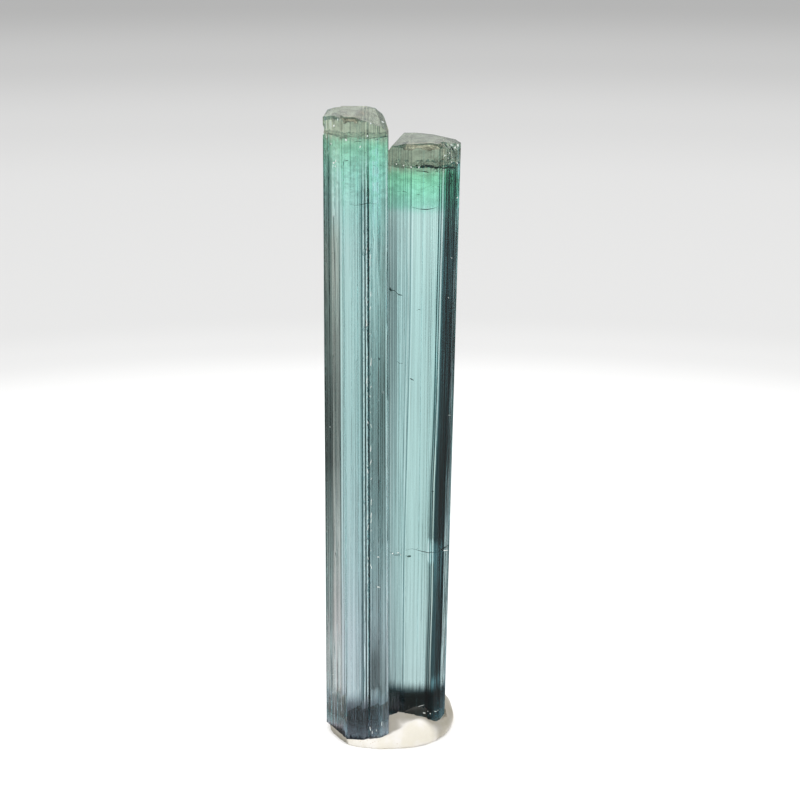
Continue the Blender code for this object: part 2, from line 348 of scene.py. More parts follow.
# How calm the surface is: the share of windowCalm on the smooth clear faces, and 0 elsewhere
def clearWindows(tree, x, front):
    edge = growth["windowEdge"]
    windows = maths(tree, "ADD", *(strip(tree, x, *span, edge) for span in growth["windows"]))
    return product(tree, windows, front, growth["windowCalm"])


def growthTree(material):
    tree, given = newTree("growthLineLightAndShade", lineValues)
    position = tree.nodes.new("GeometryNodeInputPosition").outputs[0]
    normal = tree.nodes.new("GeometryNodeInputNormal").outputs[0]
    x, y, z, onLeft = planSpace(tree, position)
    waver = []
    for run in ("Run", "Ridge Run"):
        pairs = ((x, "Pitch"), (y, "Pitch"), (z, run))
        place = combine(tree, *(maths(tree, "DIVIDE", axis, given[key]) for axis, key in pairs))
        waver.append(maths(tree, "SUBTRACT", noise(tree, place, detail=1.0, seed=given["Seed"]), 0.5))
    fromRidge = vectorMaths(tree, "DISTANCE", combine(tree, x, y), growth["ridgeAt"])
    ridge = between(tree, fromRidge, *growth["ridgeWide"], 1.0, 0.0)
    ridge = product(tree, ridge, *(between(tree, z, *growth[key]) for key in ("ridgeTop", "ridgeFoot")))
    windows = clearWindows(tree, x, between(tree, y, *growth["frontFrom"]))
    fine = product(tree, waver[0], given["Depth"], maths(tree, "SUBTRACT", 1.0, windows))
    rough = product(tree, waver[1], given["Ridge Depth"], ridge)
    steep = maths(tree, "ABSOLUTE", split(tree, normal)["Z"])
    upright = maths(tree, "LESS_THAN", steep, growth["upright"])
    offset = scaled(tree, normal, product(tree, maths(tree, "ADD", fine, rough), upright, 2 * mm))
    moved = addNode(tree, "GeometryNodeSetPosition", {"Geometry": given["Geometry"], "Offset": offset})
    return endTree(tree, moved.outputs[0], material)


def shadeAlongLines(mesh):
    bm = bmesh.new()
    bm.from_mesh(mesh)
    for face in bm.faces:
        face.smooth = True
    for edge in bm.edges:
        along = (edge.verts[0].co - edge.verts[1].co).normalized()
        limit = growth["sharp"] if abs(along.z) > 0.9 else growth["sharpAcross"]
        edge.smooth = edge.calc_face_angle(0.0) < limit
    bm.to_mesh(mesh)
    bm.free()


# Painted light and shade along the growth lines on the front faces, dark lines and bright glints: middle in
# plan x, half width, share of light let through
growthLineLightAndShade = (
    (-5.62, 0.06, 0.8), (-5.12, 0.18, 0.75), (-4.82, 0.04, 1.15), (-4.55, 0.03, 0.85), (-4.22, 0.05, 0.6),
    (-3.94, 0.18, 1.1), (-3.62, 0.03, 0.95), (-3.1, 0.02, 0.92), (-2.92, 0.03, 0.8), (-2.78, 0.03, 0.88),
    (-2.64, 0.03, 0.75), (-2.47, 0.03, 0.55), (-2.33, 0.07, 0.24), (-2.19, 0.045, 1.5), (-2.05, 0.055, 0.1),
    (-1.92, 0.05, 1.5), (-1.77, 0.075, 0.13), (-1.63, 0.03, 1.05), (-1.48, 0.04, 0.75), (-1.15, 0.05, 0.88),
    (-0.8, 0.04, 0.88), (-0.4, 0.05, 0.75), (-0.25, 0.045, 1.5), (-0.155, 0.02, 0.35), (-0.05, 0.03, 0.35),
    (0.03, 0.02, 1.2), (0.22, 0.05, 0.75), (0.45, 0.04, 0.78), (0.62, 0.03, 0.65), (0.8, 0.03, 0.85),
    (0.95, 0.03, 0.75), (1.18, 0.03, 0.72), (1.35, 0.02, 0.9), (1.5, 0.035, 0.58), (1.67, 0.04, 1.2),
    (1.84, 0.045, 0.5), (1.98, 0.04, 1.12), (4.13, 0.03, 1.12), (4.26, 0.05, 0.25), (4.35, 0.02, 0.8),
    (4.45, 0.04, 0.2), (4.56, 0.045, 1.8), (4.66, 0.03, 0.4),
)
# Broad upright bands of painted light and shade on the front faces, where refraction darkens or brightens
# them, with tints that are colour: plan x from and to, tint, tint in the tip, and the light let through by
# height in mm
frontLightAndShadeBands = {
    "left": {
        "outerSide": {"across": (-6.0, -4.84), "tint": (1.1, 1.0, 0.93), "light": {
            3: 1.3, 8: 1.05, 11: 0.7, 15: 0.7, 19: 0.48, 26: 0.16, 31: 0.19, 36: 0.31, 46: 0.43, 50: 0.48,
            53.8: 0.72, 54.8: 1.15, 55.6: 1.6}},
        "bronzeSide": {
            "across": (-4.84, -4.16), "tint": (1.25, 1.03, 0.97), "tipTint": (1.15, 1.0, 1.02), "light": {
                8: 1.08, 14: 0.84, 20: 0.78, 26: 0.42, 32: 0.36, 37: 0.45, 42: 0.63, 46: 0.78, 49.5: 1.1}},
        "greyFoot": {"across": (-6.0, -3.74), "light": {0.9: 1.0, 1.2: 1.9, 3.6: 2.3, 4.6: 1.0}},
        # painted shadow: a dark wedge along the bottom of the left crystal's slanted foot, where it meets
        # the putty
        "footShadowWedge": {"across": (-6.0, -3.9), "light": {1.3: 0.12, 1.5: 1.0}},
        "darkFoot": {"across": (-3.74, -1.68), "light": {2.6: 0.6, 3.6: 0.6, 4.3: 1.0}},
        "cornerFoot": {"across": (-0.36, -0.05), "light": {3.5: 1.9, 4.6: 1.0}},
        "midLeft": {
            "across": (-1.68, -0.87), "tint": (0.95, 1.0, 1.0), "tipTint": (0.9, 1.03, 1.0), "light": {
                3.4: 0.85, 4.2: 1.0, 5.4: 0.27, 8: 0.29, 12: 0.72, 26: 0.44, 31: 0.56, 36: 0.73, 46: 1.08,
                51: 1.18}},
        "midRight": {
            "across": (-0.87, -0.36), "tint": (0.92, 1.0, 0.99), "tipTint": (0.88, 1.0, 0.98), "light": {
                3.4: 1.6, 4.2: 1.0, 5: 0.46, 8: 0.6, 13: 0.85, 19: 0.53, 26: 0.38, 35: 0.36, 41: 0.64,
                46: 0.82, 51: 1.0}},
    },
    "right": {
        "mauveSide": {"across": (-0.2, 0.64), "tint": (0.98, 0.98, 1.0), "light": {
            4: 1.5, 5: 0.7, 6: 0.86, 14: 0.98, 25: 0.73, 31: 0.66, 36: 0.53, 41: 0.49, 46: 0.58, 50: 0.7,
            53.5: 0.95}},
        "linedSide": {"across": (0.64, 1.9), "tint": (1.0, 1.0, 1.01), "light": {
            7: 0.88, 20: 0.98, 40: 0.92, 50: 0.9, 53: 0.98}},
        "edgeLines": {"across": (4.05, 4.72), "tint": (0.95, 1.0, 1.0), "light": {
            6: 0.42, 12: 0.52, 16.6: 0.7, 17: 1.5, 18.2: 1.5, 19: 0.56, 27: 0.68, 33: 1.0, 36: 1.08,
            40: 0.97}},
        "navySide": {
            "across": (4.68, 5.77), "tint": (0.64, 1.0, 1.12), "tipTint": (0.7, 1.14, 1.08), "light": {
                3.5: 0.7, 6: 0.11, 14: 0.14, 16.8: 0.26, 18: 0.26, 18.8: 0.07, 27: 0.07, 32: 0.11, 46: 0.22,
                48.5: 0.42, 51.2: 0.5, 52.2: 1.5}},
        "rim": {"across": (5.77, 6.6), "tint": (1.05, 0.97, 1.03), "light": {
            4: 2.0, 7: 1.3, 10: 2.0, 15: 2.0, 18: 1.3, 22: 0.7, 26: 0.5, 31: 0.62, 36: 0.2, 41: 0.26,
            46: 0.22, 49: 1.1, 50.6: 0.8, 52: 2.0}},
    },
}
crystalFinish = {
    "ior": 1.63,
    "roughness": 0.02,
    "tipRoughness": 0.24,  # the broken tops are duller than the upright faces
    "topFrom": (0.25, 0.35),  # how far a face has to look up to count as a top
    "chipX": (4.7, 4.9),  # mm, plan x and height past which the bruised right corner is dull too
    "chipZ": (52.2, 52.5),
    "absorb": (0.55, 0.85, 0.87),
    "density": 100.0,  # per metre
    "lean": 0.166,  # how far a level view through the body sinks for each mm that it goes in
    "leanFrom": 2.6,
    "feather": 1.2,  # mm by which a zone's edge strays
    "featherGrain": (4.0, 0.15),  # how fine that is across and along the crystal
    "bandEdge": 0.05,  # mm
    "lineEdge": 0.014,
    "lineTint": (2.5, 1.95, 1.88),  # powers of a line's light in red, green and blue: dark lines are bluish
    "tintFade": (48.5, 45.0),  # mm, where the bands' tints give way to the green tips
    "plainTip": {"left": (54.2, 53.4), "right": (52.3, 51.6)},  # and those to the colourless tops
    "linesFade": (49.5, 53.5, 1.0, 0.35),  # mm, where the thin lines fade towards the tips, and how far
    "edgeLinesFrom": (3.2, 3.8),  # mm, plan x
    "edgeShift": (  # heights, and how far the right crystal's edge lines creep in there
        (7.4, 0.3), (13.0, 0.22), (19.0, 0.27), (24.0, 0.25), (28.0, 0.14), (31.0, 0.09), (46.0, 0.0)),
    "linedAcross": (1.0, 2.4, 0.4),  # mm, plan x from and to, and how soft the ends are
    "linedShift": (42.0, 12.0, 0.0, 0.44),  # the same for the lined side, which narrows towards the foot
    "footFade": (3.4, 4.6, 0.22, 1.0),  # mm, where the lines die out over the dark foot, and how far
    "streakGrain": (4.5, 0.07),
    "streaks": (0.3, 0.55, 0.55, 1.0),  # noise from and to, and the light through it
    "cloudGrain": (1.1, 2.2),
    "clouds": (0.36, 0.62, 0.66, 1.22),  # the same for the mottled green tips
    "cloudsFrom": (47.5, 50.0),  # mm
    # At the feet these ramps are partly the crystals' dark base colour and partly painted shade, as the
    # crystals cast no shadow; the lowest left stop is a painted shadow line along the foot.
    "leftZones": (  # height in mm, and the red, green and blue of the clear body there
        (0.75, 0.004, 0.005, 0.01), (0.9, 0.25, 0.225, 0.28), (2.6, 0.25, 0.23, 0.28),
        (3.5, 0.2, 0.195, 0.225), (4.0, 0.36, 0.37, 0.4), (4.6, 0.76, 0.76, 0.79), (10.0, 0.76, 0.76, 0.8),
        (17.0, 0.67, 0.76, 0.77), (30.0, 0.6, 0.75, 0.73), (45.0, 0.69, 0.85, 0.81),
        (48.0, 0.63, 0.86, 0.79), (51.5, 0.55, 0.91, 0.76), (54.0, 0.41, 0.74, 0.51),
        (54.8, 0.58, 0.57, 0.43)),
    "rightZones": (
        (4.0, 0.012, 0.022, 0.024), (4.5, 0.035, 0.055, 0.06), (5.3, 0.68, 0.8, 0.79),
        (20.0, 0.61, 0.78, 0.75), (40.0, 0.65, 0.83, 0.8), (47.5, 0.76, 0.93, 0.88),
        (48.3, 0.72, 0.93, 0.87), (48.6, 0.46, 0.84, 0.69), (50.2, 0.43, 0.93, 0.65),
        (51.4, 0.36, 0.8, 0.5), (52.1, 0.42, 0.43, 0.32)),
}
rampTop = 60.0  # mm, the height at the end of every ramp that runs up the crystals
linesPerRamp = 7  # a ramp takes 32 stops, and a line needs 4


def zoneColours(tree, x, y, z, onLeft):
    finish = crystalFinish
    sunk = product(tree, maths(tree, "ADD", y, finish["leanFrom"]), finish["lean"])
    stray = noise(tree, stretched(tree, x, y, z, *finish["featherGrain"]), detail=3.0)
    strayed = product(tree, maths(tree, "SUBTRACT", stray, 0.5), finish["feather"])
    level = maths(tree, "ADD", maths(tree, "ADD", z, sunk), strayed)
    zones = []
    for side in ("rightZones", "leftZones"):
        stops = [(at / rampTop, colour) for at, *colour in finish[side]]
        zones.append(colourRamp(tree, maths(tree, "DIVIDE", level, rampTop), stops))
    return mixColour(tree, onLeft, *zones), level


# A place for a noise that is drawn out along the growth lines
def stretched(tree, x, y, z, across, along):
    pairs = ((x, across), (y, across), (z, along))
    return combine(tree, *(product(tree, *pair) for pair in pairs))


def multiplied(tree, share, body, tint):
    return mixColour(tree, share, body, mixColour(tree, 1.0, body, tint, "MULTIPLY"))


# Light passes the surface's colour as its square root, so a share of light is squared to make a colour
def paintLines(tree, body, x, fade):
    soft = crystalFinish["lineEdge"]
    for first in range(0, len(growthLineLightAndShade), linesPerRamp):
        group = growthLineLightAndShade[first:first + linesPerRamp]
        low = group[0][0] - group[0][1] - 2 * soft
        span = group[-1][0] + group[-1][1] + 2 * soft - low
        stops = []
        for middle, half, light in group:
            tint = tuple(light**power for power in crystalFinish["lineTint"])
            spots = ((-half - soft, (1, 1, 1)), (-half, tint), (half, tint), (half + soft, (1, 1, 1)))
            stops += [((middle + spot - low) / span, colour) for spot, colour in spots]
        at = maths(tree, "DIVIDE", maths(tree, "SUBTRACT", x, low), span)
        # painted shade and painted highlights along the growth lines
        body = multiplied(tree, fade, body, colourRamp(tree, at, stops))
    return body


def paintBands(tree, body, x, level, onLeft, front):
    finish = crystalFinish
    below = between(tree, level, *finish["tintFade"])
    at = maths(tree, "DIVIDE", level, rampTop)
    for side, bands in frontLightAndShadeBands.items():
        here = onLeft if side == "left" else maths(tree, "SUBTRACT", 1.0, onLeft)
        coloured = between(tree, level, *finish["plainTip"][side])
        for band in bands.values():
            # painted light and shade of a front band, then its tint
            share = product(tree, strip(tree, x, *band["across"], finish["bandEdge"]), here, front)
            stops = [(height / rampTop, (light**2,) * 3) for height, light in band["light"].items()]
            body = multiplied(tree, share, body, colourRamp(tree, at, stops))
            low, high = (tuple(part**2 for part in band.get(key, (1, 1, 1))) for key in ("tint", "tipTint"))
            tint = mixColour(tree, below, high, low)
            body = multiplied(tree, product(tree, share, coloured), body, tint)
    return body


def crystalMaterial():
    finish = crystalFinish
    material, tree, shader = newMaterial("clearTealCrystal")
    shader.inputs["IOR"].default_value = finish["ior"]
    shader.inputs["Transmission Weight"].default_value = 1.0
    space = addNode(tree, "ShaderNodeTexCoord").outputs
    x, y, z, onLeft = planSpace(tree, space["Object"])
    chipped = product(tree, between(tree, x, *finish["chipX"]), between(tree, z, *finish["chipZ"]))
    steep = maths(tree, "ABSOLUTE", split(tree, space["Normal"])["Z"])
    dull = maths(tree, "MAXIMUM", chipped, between(tree, steep, *finish["topFrom"]))
    roughness = between(tree, dull, 0.0, 1.0, finish["roughness"], finish["tipRoughness"], "LINEAR")
    tree.links.new(roughness, shader.inputs["Roughness"])
    body, level = zoneColours(tree, x, y, z, onLeft)
    front = between(tree, y, *growth["frontFrom"])
    creeps = [(at / rampTop, (creep,) * 3) for at, creep in finish["edgeShift"]]
    edgeCreep = colourRamp(tree, maths(tree, "DIVIDE", z, rampTop), creeps)
    linedCreep = between(tree, z, *finish["linedShift"])
    shiftedX = maths(tree, "MULTIPLY_ADD", between(tree, x, *finish["edgeLinesFrom"]), edgeCreep, x)
    shiftedX = maths(tree, "MULTIPLY_ADD", strip(tree, x, *finish["linedAcross"]), linedCreep, shiftedX)
    fades = (between(tree, z, *finish["linesFade"]), between(tree, level, *finish["footFade"]))
    fade = product(tree, front, *fades)
    body = paintLines(tree, body, shiftedX, fade)
    body = paintBands(tree, body, shiftedX, level, onLeft, front)
    streaks = noise(tree, stretched(tree, x, y, z, *finish["streakGrain"]), detail=1.5, roughness=0.6)
    streaks = between(tree, streaks, *finish["streaks"], "LINEAR")
    clear = clearWindows(tree, shiftedX, front)
    body = mixColour(tree, 1.0, body, maths(tree, "MAXIMUM", streaks, clear), "MULTIPLY")
    cloud = noise(tree, stretched(tree, x, y, z, *finish["cloudGrain"]), detail=3.0, roughness=0.65)
    cloud = between(tree, cloud, *finish["clouds"])
    cloudy = product(tree, between(tree, z, *finish["cloudsFrom"]), front)
    body = multiplied(tree, cloudy, body, cloud)
    body = mixColour(tree, 1.0, body, (1.0, 1.0, 1.0), "DARKEN")  # no bright line passes more than all light
    tree.links.new(body, shader.inputs["Base Color"])
    haze = addNode(tree, "ShaderNodeVolumeAbsorption")
    haze.inputs["Color"].default_value = (*finish["absorb"], 1.0)
    haze.inputs["Density"].default_value = finish["density"]
    output = next(node for node in tree.nodes if node.type == "OUTPUT_MATERIAL")
    tree.links.new(haze.outputs[0], output.inputs["Volume"])
    return material


# Healed fractures: a wavy mirror sheet across each tip, and loose mirror plates scattered below it
sheetValues = {
    "Cell": 0.09,  # mm
    "Wave Size": 1.5,
    "Wave Depth": 0.2,
    "Fine Size": 0.45,
    "Fine Depth": 0.03,
    "Rim Width": 0.9,
    "Rim Rise": 0.1,
    "Rim From": -10.0,  # mm, the x past which the rim rises
    "Reach": 20.0,  # mm in from the crystal's faces
    "Back": 20.0,  # mm, the y that the sheet goes back to
    "Hole Size": 0.4,
    "Open": 0.34,
    "Seed": 1.0,
}
underEdge = {  # for the sheets close under the front edges of the tops
    "Cell": 0.06, "Open": 0.0, "Wave Depth": 0.04, "Fine Size": 1.6, "Fine Depth": 0.02,
}
sheets = (  # height in mm, and how far it leans back in degrees
    {"side": "left", "height": 54.25, "lean": 1.0, "values": {"Seed": 2.0}},
    {"side": "right", "height": 51.65, "lean": 1.0, "values": {
        "Rim Rise": 0.28, "Rim From": 1.9, "Wave Depth": 0.22, "Seed": 7.0}},
    {"side": "left", "height": 56.38, "lean": -7.0, "values": {
        **underEdge, "Rim Width": 0.75, "Rim Rise": -0.48, "Reach": 0.6, "Back": -0.9, "Seed": 5.0}},
    {"side": "right", "height": 53.8, "lean": -6.0, "values": {
        **underEdge, "Rim Width": 0.65, "Rim Rise": -0.42, "Reach": 0.5, "Back": -0.7, "Seed": 9.0}},
)
sheetThickness = 0.02  # mm
raggedRim = (0.35, 0.6, 0.3, 1.3)  # noise from and to, and the share of the rim's rise there
bubbles = (  # x, z and radius in mm
    (5.16, 50.85, 0.17), (5.24, 50.35, 0.12), (4.78, 52.1, 0.1), (4.45, 52.35, 0.08),
)
bubbleDepth = 0.35  # mm under the face


def sheetTree(material):
    tree, given = newTree("fractureSheet", sheetValues)
    cut = given["Geometry"]
    box = addNode(tree, "GeometryNodeBoundBox", {"Geometry": cut}).outputs
    span = vectorMaths(tree, "SUBTRACT", box["Max"], box["Min"])
    middle = scaled(tree, vectorMaths(tree, "ADD", box["Max"], box["Min"]), 0.5)
    axes = split(tree, span)
    cell = product(tree, given["Cell"], mm)
    counts = {"Vertices " + axis: maths(tree, "DIVIDE", axes[axis], cell) for axis in "XY"}
    grid = addNode(tree, "GeometryNodeMeshGrid", {"Size X": axes["X"], "Size Y": axes["Y"], **counts})
    placed = addNode(tree, "GeometryNodeTransform", {"Geometry": grid.outputs[0], "Translation": middle})
    position = tree.nodes.new("GeometryNodeInputPosition").outputs[0]
    above = vectorMaths(tree, "ADD", position, (0.0, 0.0, 20 * mm))  # the grid drops from there onto the cut
    hit = addNode(tree, "GeometryNodeRaycast", {"Target Geometry": cut, "Source Position": above}).outputs
    inMm = scaled(tree, hit["Hit Position"], 1000.0)
    waves = []
    for key in ("Wave", "Fine", "Hole"):
        place = scaled(tree, inMm, maths(tree, "DIVIDE", 1.0, given[key + " Size"]))
        waves.append(noise(tree, place, detail=1.0, seed=given["Seed"]))
    toEdge = addNode(tree, "GeometryNodeProximity", {
        "Geometry": cut, "Sample Position": hit["Hit Position"]}, target_element="EDGES").outputs["Distance"]
    place = split(tree, inMm)
    gone = maths(tree, "SUBTRACT", 1.0, hit["Is Hit"])
    for beyond in (
            maths(tree, "LESS_THAN", waves[2], given["Open"]),
            maths(tree, "GREATER_THAN", place["Y"], given["Back"]),
            maths(tree, "GREATER_THAN", toEdge, product(tree, given["Reach"], mm))):
        gone = maths(tree, "MAXIMUM", gone, beyond)
    kept = addNode(tree, "GeometryNodeDeleteGeometry", {"Geometry": placed.outputs[0], "Selection": gone})
    share = maths(tree, "DIVIDE", toEdge, product(tree, given["Rim Width"], mm))
    rim = maths(tree, "POWER", maths(tree, "MAXIMUM", maths(tree, "SUBTRACT", 1.0, share), 0.0), 2.0)
    ragged = between(tree, waves[1], *raggedRim)
    past = maths(tree, "MAXIMUM", maths(tree, "SUBTRACT", place["X"], given["Rim From"]), 0.0)
    lift = product(tree, rim, given["Rim Rise"], ragged, maths(tree, "MINIMUM", past, 1.0))
    for wave, key in zip(waves, ("Wave", "Fine")):
        off = product(tree, maths(tree, "SUBTRACT", wave, 0.5), 2.0)
        lift = maths(tree, "MULTIPLY_ADD", off, given[key + " Depth"], lift)
    rise = combine(tree, 0.0, 0.0, product(tree, lift, mm))
    lifted = vectorMaths(tree, "ADD", hit["Hit Position"], rise)
    moved = addNode(tree, "GeometryNodeSetPosition", {"Geometry": kept.outputs[0], "Position": lifted})
    return endTree(tree, moved.outputs[0], material)


veilValues = {
    "Density": 3.0e6,  # per square metre
    "Smallest": 0.07,  # mm
    "Largest": 0.24,
    "Thickness": 0.006,
    "Tilt": 16.0,  # degrees
    "Scatter": 0.25,  # mm up and down
    "Seed": 1.0,
}
veils = (  # height in mm, how far it leans back in degrees, and its own density, scatter and seed
    {"side": "left", "height": 53.3, "lean": -3.0, "own": (0.7e6, 0.5, 2.0)},
    {"side": "left", "height": 51.2, "lean": 3.0, "own": (0.5e6, 1.1, 3.0)},
    {"side": "right", "height": 49.8, "lean": -3.0, "own": (0.4e6, 0.7, 6.0)},
    {"side": "right", "height": 17.2, "lean": 2.0, "own": (0.6e6, 0.08, 7.0)},
)
veilInset = 0.97
veilFinish = {
    "scale": 1600.0, "detail": 3.0, "roughness": 0.2, "metallic": 1.0,
    "tones": ((0.35, (0.45, 0.46, 0.43)), (0.62, (0.92, 0.925, 0.9))),
}


def veilTree(material):
    tree, given = newTree("fractureVeil", veilValues)
    points = addNode(tree, "GeometryNodeDistributePointsOnFaces", {
        "Mesh": given["Geometry"], "Density": given["Density"], "Seed": given["Seed"]})

    def randomFloat(low, high, seed):
        inputs = {2: low, 3: high, "Seed": maths(tree, "ADD", given["Seed"], seed)}
        return addNode(tree, "FunctionNodeRandomValue", inputs, data_type="FLOAT").outputs[1]

    spread = product(tree, given["Scatter"], mm)
    lift = combine(tree, 0.0, 0.0, randomFloat(product(tree, spread, -1.0), spread, 10.0))
    placed = addNode(tree, "GeometryNodeSetPosition", {"Geometry": points.outputs["Points"], "Offset": lift})
    plate = addNode(tree, "GeometryNodeMeshCylinder", {"Vertices": 6, "Radius": 1.0, "Depth": 1.0})
    tilt = maths(tree, "RADIANS", given["Tilt"])
    back = product(tree, tilt, -1.0)
    turns = ((back, tilt, 20.0), (back, tilt, 30.0), (0.0, 3.14, 40.0))
    turn = combine(tree, *(randomFloat(*each) for each in turns))
    wide = product(tree, randomFloat(given["Smallest"], given["Largest"], 50.0), mm)
    narrow = product(tree, wide, randomFloat(0.45, 1.0, 60.0))
    size = combine(tree, wide, narrow, product(tree, given["Thickness"], mm))
    plates = addNode(tree, "GeometryNodeInstanceOnPoints", {
        "Points": placed.outputs[0], "Instance": plate.outputs["Mesh"], "Rotation": turn, "Scale": size})
    return endTree(tree, plates.outputs[0], material)


# A cut through one crystal, drawn in a little from its faces, for a sheet or plates to lie on
def levelCut(crystalMesh, veil):
    bm = bmesh.new()
    bm.from_mesh(crystalMesh)
    bmesh.ops.remove_doubles(bm, verts=bm.verts, dist=growth["weld"])
    lean = math.radians(veil["lean"])
    cut = bmesh.ops.bisect_plane(
        bm, geom=bm.verts[:] + bm.edges[:] + bm.faces[:], dist=growth["weld"],
        plane_co=(0, 0, veil["height"] * mm), plane_no=(0, math.sin(lean), math.cos(lean)))["geom_cut"]
    keep = {item for item in cut if isinstance(item, bmesh.types.BMEdge)}
    bmesh.ops.delete(bm, geom=bm.faces[:], context="FACES_ONLY")
    bmesh.ops.delete(bm, geom=[edge for edge in bm.edges if edge not in keep], context="EDGES")
    bmesh.ops.contextual_create(bm, geom=bm.edges[:])
    seam = growth["splitAt"] * mm
    outward = 1 if veil["side"] == "left" else -1
    bmesh.ops.bisect_plane(
        bm, geom=bm.verts[:] + bm.edges[:] + bm.faces[:], dist=growth["weld"],
        plane_co=(seam, 0, 0), plane_no=(outward, 0, 0), clear_outer=True)
    middle = sum((vert.co for vert in bm.verts), Vector()) / len(bm.verts)
    for vert in bm.verts:
        vert.co = middle + (vert.co - middle) * veilInset
    return meshObject(bm, "levelCut")


def buildBubbles(surface, material):
    bm = bmesh.new()
    for x, z, radius in bubbles:
        made = bmesh.ops.create_icosphere(bm, subdivisions=3, radius=radius * mm)["verts"]
        bmesh.ops.translate(bm, vec=frontPoint(surface, x, z, bubbleDepth), verts=made)
    for face in bm.faces:
        face.smooth = True
    return meshObject(bm, "bubbles", material)


def buildVeils(crystals, surface):
    material = mottledMaterial("mirrorFracture", **veilFinish)
    tree = sheetTree(material)
    made = []
    for sheet in sheets:
        made.append(runTree(levelCut(crystals, sheet), tree, sheet["values"], "sheet", sheetThickness * mm))
    tree = veilTree(material)
    for veil in veils:
        values = dict(zip(("Density", "Scatter", "Seed"), veil["own"]))
        made.append(runTree(levelCut(crystals, veil), tree, values, "veil"))
    made.append(buildBubbles(surface, material))
    bm = bmesh.new()
    for item in made:
        bm.from_mesh(item.data)
        bpy.data.objects.remove(item)
    return meshObject(bm, "fractureVeils", material)


# Cracks: thin dark slivers just under the front faces, the cracks real and their near-black colour painted
# shade, as half width, depth and x, z points in mm
cracks = {
    "underTip": (0.115, 0.02, (
        (2.7, 51.86), (3.1, 51.9), (3.42, 51.88), (3.76, 51.74), (4.39, 51.67), (4.82, 51.66), (5.25, 51.5),
        (5.62, 51.32))),
    "underTipLow": (0.045, 0.04, ((2.25, 51.45), (2.65, 51.42), (2.95, 51.38), (3.38, 51.33))),
    "underTipStart": (0.06, 0.03, ((2.15, 51.92), (2.28, 51.9), (2.42, 51.86))),
    "wavyOne": (0.02, 0.04, ((0.65, 49.6), (1.1, 49.68), (1.58, 49.58))),
    "wavyTwo": (0.022, 0.04, ((2.17, 49.5), (2.4, 49.42), (2.62, 49.46))),
    "greenEdge": (0.035, 0.03, (
        (1.82, 48.6), (1.92, 48.36), (2.45, 48.22), (3.05, 48.18), (3.6, 48.26), (4.14, 48.46))),
    "lowerCrack": (0.03, 0.03, (
        (1.35, 17.75), (1.8, 17.95), (2.19, 17.9), (2.8, 17.72), (3.33, 17.62), (4.0, 17.55),
        (4.95, 17.6))),
    "lowerStart": (0.03, 0.02, ((-0.05, 17.3), (0.35, 17.1), (0.8, 17.25), (1.05, 17.4))),
    "bandCrack": (0.07, 0.02, ((4.15, 17.45), (4.8, 17.52), (5.45, 17.55))),
    "spot": (0.2, 0.03, ((-0.02, 41.1), (0.08, 41.02), (0.22, 40.95))),
    "spotTail": (0.05, 0.03, ((0.1, 41.0), (0.45, 41.0), (0.7, 40.75), (1.15, 40.72))),
    "faintOne": (0.02, 0.06, ((2.25, 39.45), (2.45, 39.55), (2.75, 39.48))),
    "faintTwo": (0.025, 0.05, ((0.55, 34.85), (0.85, 34.7), (1.2, 34.75))),
    "dash": (0.065, 0.03, ((1.72, 33.45), (1.9, 33.38), (2.1, 33.25))),
    "nick": (0.05, 0.03, ((3.62, 23.22), (3.74, 23.2), (3.9, 23.3))),
    "leftDash": (0.035, 0.05, ((-3.72, 52.52), (-3.52, 52.5), (-3.36, 52.56))),
    "leftFaint": (0.025, 0.05, (
        (-3.3, 48.9), (-2.9, 48.75), (-2.4, 48.85), (-1.6, 48.95), (-0.9, 48.8))),
    "leftMid": (0.03, 0.05, ((-2.95, 54.05), (-2.6, 54.15), (-2.25, 54.08))),
    "leftShort": (0.03, 0.05, ((-1.3, 54.2), (-1.0, 54.22), (-0.62, 54.15))),
    "chipLine": (0.1, 0.01, ((4.55, 53.55), (4.8, 53.33), (5.05, 53.05))),
    "chipArc": (0.14, 0.01, ((4.96, 53.45), (5.22, 53.22), (5.38, 52.9), (5.46, 52.55))),
}
crackStep = 0.09  # mm between one ring of a sliver and the next
flakes = {  # dark flakes crowd along the front rim of the fracture under the right tip, their darkness painted shade
    "line": ((2.0, 51.95), (2.9, 51.88), (3.7, 51.66), (4.6, 51.52), (5.45, 51.72)),
    "count": 120,
    "spread": 0.12,  # mm
    "deep": (0.02, 0.45),
    "radius": (0.03, 0.09),
    "tilt": 0.6,  # radians
}
# near-black colour of the cracks and flakes: painted shade
crackFinish = {
    "scale": 2500.0, "tones": ((0.3, (0.004, 0.02, 0.016)), (0.75, (0.02, 0.06, 0.055))), "roughness": 0.35,
}


# The point of the front face at x and z, and so far under it
def frontPoint(surface, x, z, under):
    place = surface.ray_cast(Vector((x * mm, -50 * mm, z * mm)), Vector((0, 1, 0)))[0]
    return place and place + Vector((0, under * mm, 0))


# A sliver along a line: four sides, tapered ends, slowly changing width
def addSliver(bm, surface, line, thick, under, rng):
    points = [Vector(point) for point in line]
    rings = []
    phase = rng.uniform(0.0, math.tau)
    total = sum((b - a).length for a, b in zip(points, points[1:]))
    travelled = 0.0
    for a, b in zip(points, points[1:]):
        length = (b - a).length
        steps = max(2, round(length / crackStep))
        for step in range(steps):
            at = a.lerp(b, step / steps)
            share = (travelled + length * step / steps) / total
            place = frontPoint(surface, at.x, at.y + rng.uniform(-0.3, 0.3) * thick, under)
            if place is None:
                continue
            swell = 0.75 + 0.3 * math.sin(phase + 9.0 * share) + rng.uniform(-0.08, 0.08)
            half = thick * (0.25 + 0.75 * math.sin(math.pi * (0.06 + 0.88 * share))) * swell * mm
            deep = 0.4 * half
            offsets = ((0, -deep, 0), (0, 0, half), (0, deep, 0), (0, 0, -half))
            rings.append([bm.verts.new(place + Vector(offset)) for offset in offsets])
        travelled += length
    if len(rings) < 2:
        return
    for first, second in zip(rings, rings[1:]):
        for i in range(4):
            j = (i + 1) % 4
            bm.faces.new((first[i], first[j], second[j], second[i]))
    bm.faces.new(rings[0][::-1])
    bm.faces.new(rings[-1])


